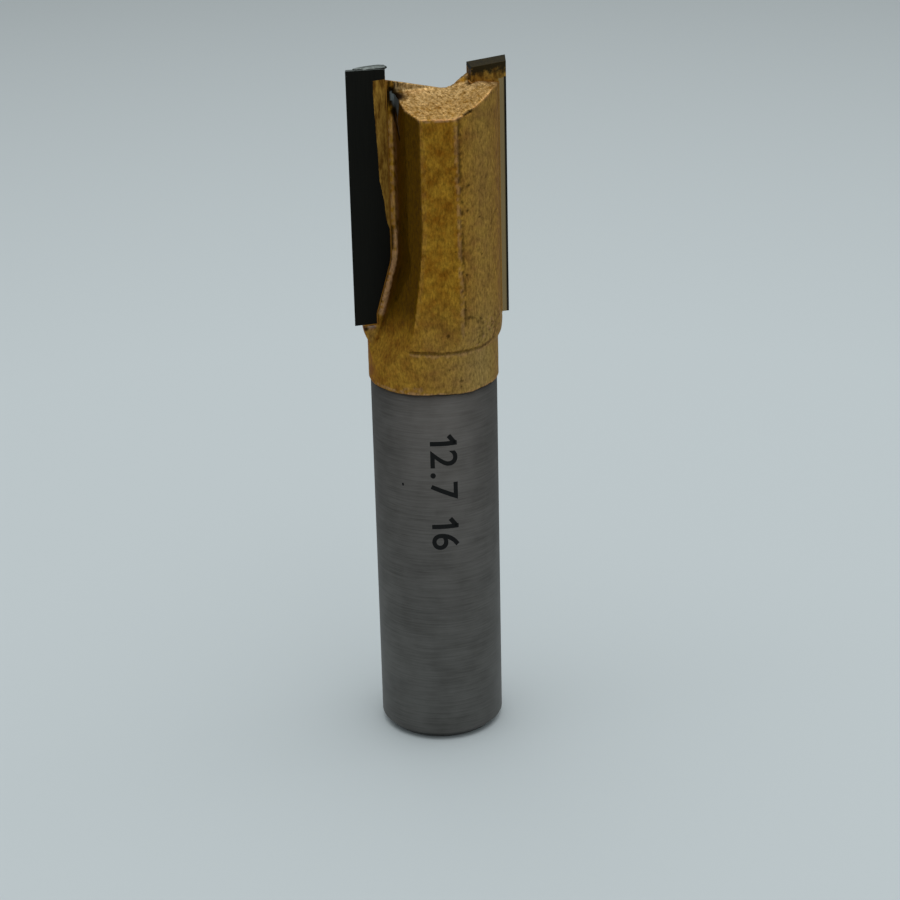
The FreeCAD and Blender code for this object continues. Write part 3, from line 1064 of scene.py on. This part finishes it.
@dataclass
class CarbideTip:
    """One brazed tip, with its edges just broken."""

    side: Side
    node: CadNode
    name: str
    end_face: str
    burr: bool = False
    edge_break: float = 0.03
    flat_angle: float = 1.0
    sharp_angle: float = 20.0
    # The burr is a rough drop with a tail towards the axis, placed from the tip's highest corner.
    burr_tail: float = 3.0
    burr_roughness: float = 0.12
    burr_size: tuple[float, float, float] = (0.85, 0.6, 0.24)
    burr_place: tuple[float, float, float] = (-0.4, 0.95, -0.12)

    def build(self) -> Object:
        """Build the tip.

        Returns:
            The finished piece.
        """
        bm = node_copy(self.node)
        bmesh.ops.dissolve_limit(bm, angle_limit=math.radians(self.flat_angle), verts=bm.verts,
                                 edges=bm.edges)
        sharp = [edge for edge in bm.edges
                 if edge.is_manifold and edge.calc_face_angle() > math.radians(self.sharp_angle)]
        bmesh.ops.bevel(bm, geom=sharp, offset=self.edge_break, affect="EDGES", segments=2,
                        profile=0.5, material=-1)
        low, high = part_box(self.node.value)
        if self.burr:
            self.add_burr(bm, high / MM)
        bmesh.ops.recalc_face_normals(bm, faces=bm.faces)
        bm.normal_update()
        layer = bm.loops.layers.float.new(END_FACE)
        for face in bm.faces:
            for loop in face.loops:
                loop[layer] = ramp(face.normal.z, 0.4, 0.8)
        inner = min(abs(low.x), abs(high.x)) / MM
        finish = GroundCarbide(self.side, high.z / MM, inner, self.end_face)
        return finished_piece(self.name, bm, finish.material(), [self.node],
                              smooth=False)

    def add_burr(self, bm: BMesh, corner: Vector) -> None:
        """Leave a small burr of braze and grinding dust at the top of the inner end.

        Args:
            bm: The mesh of the tip.
            corner: The highest corner of the tip's box.
        """
        made = bmesh.ops.create_icosphere(bm, subdivisions=3, radius=1)["verts"]
        for vert in made:
            vert.co.x *= self.burr_tail if vert.co.x < 0 else 1.0
            vert.co *= 1 + self.burr_roughness * noise.noise(vert.co * 3)
        bmesh.ops.scale(bm, verts=made, vec=self.burr_size)
        right, y, up = self.burr_place
        bmesh.ops.translate(bm, verts=made, vec=(corner.x + right, y, corner.z + up))


@dataclass
class ShankNumbers:
    """Plain size numbers on the shank: its diameter and the cutting diameter in millimetres."""

    words: str = "12.7 16"
    cap_height: float = 2.8
    length: float = 12.5
    top: float = 34.35
    facing: float = -98.9
    radius: float = 6.35
    thickness: float = 0.012
    weight: float = 0.01
    letter_gap: float = 0.13
    space: float = 0.34
    flag_length: float = 0.27
    flag_slope: float = 38.0
    slice_width: float = 0.2
    speck: tuple[float, float, float] = (-4.72, -4.25, 28.75)
    speck_size: tuple[float, float, float] = (0.01, 0.13, 0.17)
    finish: MarkingInk = field(default_factory=MarkingInk)

    def build(self) -> Object:
        """Build the numbers.

        Returns:
            The finished piece.
        """
        bm = bmesh.new()
        cursor = 0.0
        for letter in self.words:
            cursor = self.add_letter(bm, letter, cursor)
        bmesh.ops.remove_doubles(bm, verts=bm.verts, dist=MERGE_DISTANCE)
        foot, head = [pick(v.co.y for v in bm.verts) for pick in (min, max)]
        bmesh.ops.translate(bm, vec=(0, -(foot + head) / 2, 0), verts=bm.verts)
        bmesh.ops.scale(bm, verts=bm.verts, vec=(
            self.length / (cursor - self.letter_gap), self.cap_height / (head - foot), 1))
        slices = math.ceil(self.cap_height / self.slice_width)
        for index in range(1, slices):
            level = (index / slices - 0.5) * self.cap_height
            bmesh.ops.bisect_plane(bm, geom=bm.verts[:] + bm.edges[:] + bm.faces[:],
                                   plane_co=(0, level, 0), plane_no=(0, 1, 0))
        for vert in bm.verts:
            angle = math.radians(self.facing) + vert.co.y / self.radius
            reach = self.radius + vert.co.z
            vert.co = Vector((reach * math.cos(angle), reach * math.sin(angle),
                              self.top - vert.co.x))
        self.add_speck(bm)
        bmesh.ops.recalc_face_normals(bm, faces=bm.faces)
        return finished_piece("shank_numbers", bm, self.finish.material(), [],
                              smooth=False)

    def add_speck(self, bm: BMesh) -> None:
        """Add the small stray speck of ink beside the numbers."""
        made = bmesh.ops.create_icosphere(bm, subdivisions=2, radius=1)["verts"]
        bmesh.ops.scale(bm, verts=made, vec=self.speck_size)
        bmesh.ops.rotate(bm, verts=made, cent=(0, 0, 0), matrix=Matrix.Rotation(
            math.atan2(self.speck[1], self.speck[0]), 3, "Z"))
        bmesh.ops.translate(bm, verts=made, vec=self.speck)

    def add_letter(self, bm: BMesh, letter: str, cursor: float) -> float:
        """Add one letter, flat, with its left side at the cursor.

        Args:
            bm: The mesh that gets the letter.
            letter: A digit, a point or a space.
            cursor: Where the letter starts.

        Returns:
            Where the next letter starts.
        """
        if letter == " ":
            return cursor + self.space
        curve = bpy.data.curves.new("letter", "FONT")
        curve.body = letter
        curve.extrude = self.thickness / 2
        curve.offset = self.weight
        curve.resolution_u = 6
        work = bpy.data.objects.new("letter", curve)
        bpy.context.scene.collection.objects.link(work)
        flat = bpy.data.meshes.new_from_object(work)
        part = bmesh.new()
        part.from_mesh(flat)
        left, right = [pick(v.co.x for v in part.verts) for pick in (min, max)]
        top = max(v.co.y for v in part.verts)
        if letter == "1":
            width = right - left
            slope = math.radians(self.flag_slope)
            made = bmesh.ops.create_cube(part, size=1)["verts"]
            bmesh.ops.scale(part, verts=made, vec=(self.flag_length, width, self.thickness))
            bmesh.ops.rotate(part, verts=made, cent=(0, 0, 0),
                             matrix=Matrix.Rotation(slope, 3, "Z"))
            bmesh.ops.translate(part, verts=made, vec=(
                right - self.flag_length / 2 * math.cos(slope) - width * 0.45,
                top - self.flag_length / 2 * math.sin(slope) - width * 0.45, 0))
            left = min(v.co.x for v in part.verts)
        bmesh.ops.translate(part, verts=part.verts, vec=(cursor - left, 0, 0))
        part.to_mesh(flat)
        part.free()
        bm.from_mesh(flat)
        bpy.data.meshes.remove(flat)
        bpy.data.objects.remove(work)
        bpy.data.curves.remove(curve)
        return cursor + right - left + self.letter_gap


@dataclass
class Studio:
    """Camera at the photograph's angle, plain soft light and a pale floor."""

    place: tuple[float, float, float] = (-58.43, -204.17, 117.45)
    turn: float = -16.36
    tilt: float = 67.64
    roll: float = -1.362
    lens: float = 90.12
    sensor: float = 36.0
    floor_size: float = 4000.0
    floor_level: float = -0.02
    # Name, place, size and power of each lamp, all of which look at the head
    lamps: tuple[tuple, ...] = (("overhead", (20, 20, 600), 800, 2.7),
                                ("front_right", (330, -460, 300), 700, 0.15))
    lit_place: tuple[float, float, float] = (0, 0, 50)
    world: str = "#D3DADD"
    world_strength: float = 0.55

    def build(self) -> None:
        """Add the camera, the lamps, the world and the floor."""
        scene = bpy.context.scene
        scene.view_settings.view_transform = "Standard"
        self.add_camera(scene)
        for lamp in self.lamps:
            self.add_lamp(*lamp)
        scene.world = bpy.data.worlds.new("soft_room")
        scene.world.use_nodes = True
        background = scene.world.node_tree.nodes["Background"]
        background.inputs["Color"].default_value = linear(self.world)
        background.inputs["Strength"].default_value = self.world_strength
        self.add_floor(scene)

    def add_camera(self, scene: bpy.types.Scene) -> None:
        """Set the camera at the photograph's viewing angle."""
        data = bpy.data.cameras.new("camera")
        data.lens = self.lens
        data.sensor_width = self.sensor
        data.clip_start = 0.01
        camera = bpy.data.objects.new("camera", data)
        scene.collection.objects.link(camera)
        turn = Matrix.Rotation(math.radians(self.turn), 4, "Z")
        tilt = Matrix.Rotation(math.radians(self.tilt), 4, "X")
        roll = Matrix.Rotation(math.radians(self.roll), 4, "Z")
        camera.matrix_world = Matrix.Translation(Vector(self.place) * MM) @ turn @ tilt @ roll
        scene.camera = camera

    def add_lamp(self, name: str, place: tuple[float, float, float], size: float,
                 watts: float) -> None:
        """Add a square soft lamp that looks at the head.

        Args:
            name: Name of the lamp.
            place: Where it hangs, in millimetres.
            size: Side of its square in millimetres.
            watts: Its power.
        """
        data = bpy.data.lights.new(name, "AREA")
        data.size = size * MM
        data.energy = watts
        lamp = bpy.data.objects.new(name, data)
        bpy.context.scene.collection.objects.link(lamp)
        target = Vector(self.lit_place) * MM
        lamp.location = Vector(place) * MM
        lamp.rotation_euler = (target - lamp.location).to_track_quat("-Z", "Y").to_euler()

    def add_floor(self, scene: bpy.types.Scene) -> None:
        """Lay the floor under the shank."""
        bm = bmesh.new()
        bmesh.ops.create_grid(bm, x_segments=1, y_segments=1, size=self.floor_size / 2 * MM)
        bmesh.ops.translate(bm, vec=(0, 0, self.floor_level * MM), verts=bm.verts)
        mesh = bpy.data.meshes.new("floor")
        bm.to_mesh(mesh)
        bm.free()
        mesh.materials.append(PaleFloor().material())
        floor = bpy.data.objects.new("floor", mesh)
        scene.collection.objects.link(floor)


def main() -> None:
    """Build every piece in order."""
    logging.basicConfig(level=logging.INFO, format="%(name)s %(message)s")
    Studio().build()
    PaintedHead().build()
    GroundShank().build()
    CarbideTip(Side.LEFT, CadNode.TIP_LEFT, "left_carbide_tip", "#7C8380", burr=True).build()
    CarbideTip(Side.RIGHT, CadNode.TIP_RIGHT, "right_carbide_tip", "#3E3620").build()
    ShankNumbers().build()
    braze = PaintedBraze().material()
    for node in (CadNode.SEAM_LEFT, CadNode.SEAM_RIGHT):
        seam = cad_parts[node.value]
        seam.data.materials.clear()
        seam.data.materials.append(braze)


if __name__ == "__main__":
    main()
